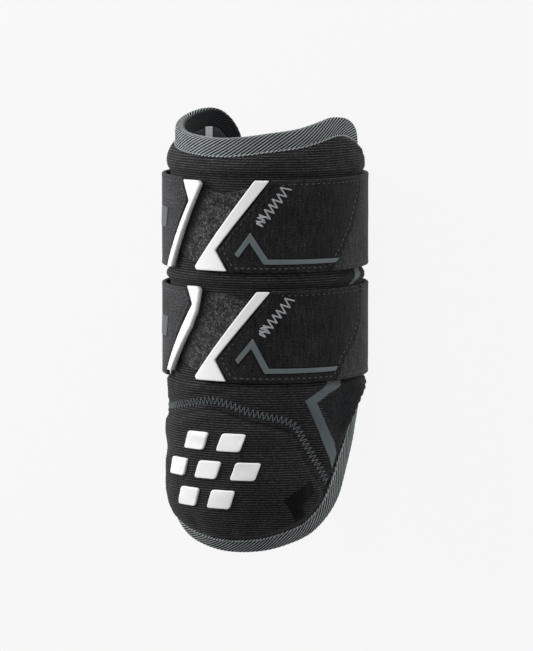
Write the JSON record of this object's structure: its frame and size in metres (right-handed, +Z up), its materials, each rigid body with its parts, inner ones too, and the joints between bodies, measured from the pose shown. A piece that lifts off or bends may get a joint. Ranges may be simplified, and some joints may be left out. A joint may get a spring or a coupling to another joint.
{
  "type": "baseball elbow guard",
  "caption": "Padded elbow guard: a curved arm shell with a raised elbow cap, ribbed edge binding and two broad straps that close round the back.",
  "frame": {"origin": "middle of the bounding box's underside, on the surface that the flat backs of the two straps rest on", "axes": "+Z up, out of the guard's front; +Y along the arm towards the upper rim; +X towards the guard's right as seen from the front"},
  "size_m": [0.106, 0.222, 0.0978],
  "materials": {
    "pad_fabric": "fine ribbed black knit",
    "lining_mesh": "open dark mesh",
    "binding_tape": "grey diagonally ribbed tape",
    "strap_fabric": "ribbed black webbing",
    "elastic": "coarse black elastic",
    "white_trim": "matt white moulded rubber",
    "grey_print": "matt grey film",
    "black_film": "smooth satin black",
    "loop_pile": "fuzzy dark loop pile",
    "white_tape": "plain woven tape"
  },
  "bodies": {
    "root": {"main_pad": "pad_fabric", "elbow_cap": "pad_fabric", "lining": "lining_mesh", "rim_binding": "binding_tape", "panel_upper": "strap_fabric", "panel_lower": "strap_fabric", "strap_upper": "elastic", "strap_lower": "elastic", "trim_upper_right": "white_trim", "trim_upper_left": "white_trim", "trim_lower_right": "white_trim", "trim_lower_left": "white_trim", "accent_upper": "grey_print", "accent_lower": "grey_print", "tab_mark_upper": "grey_print", "tab_mark_lower": "grey_print", "loop_patch_upper": "loop_pile", "loop_patch_lower": "loop_pile", "side_chevron": "grey_print", "side_stripe": "grey_print", "cap_band": "black_film", "cap_stud_1": "white_trim", "cap_stud_2": "white_trim", "cap_stud_3": "white_trim", "cap_stud_4": "white_trim", "cap_stud_5": "white_trim", "cap_stud_6": "white_trim", "cap_stud_7": "white_trim", "inner_tab": "white_tape"}
  },
  "joints": []
}
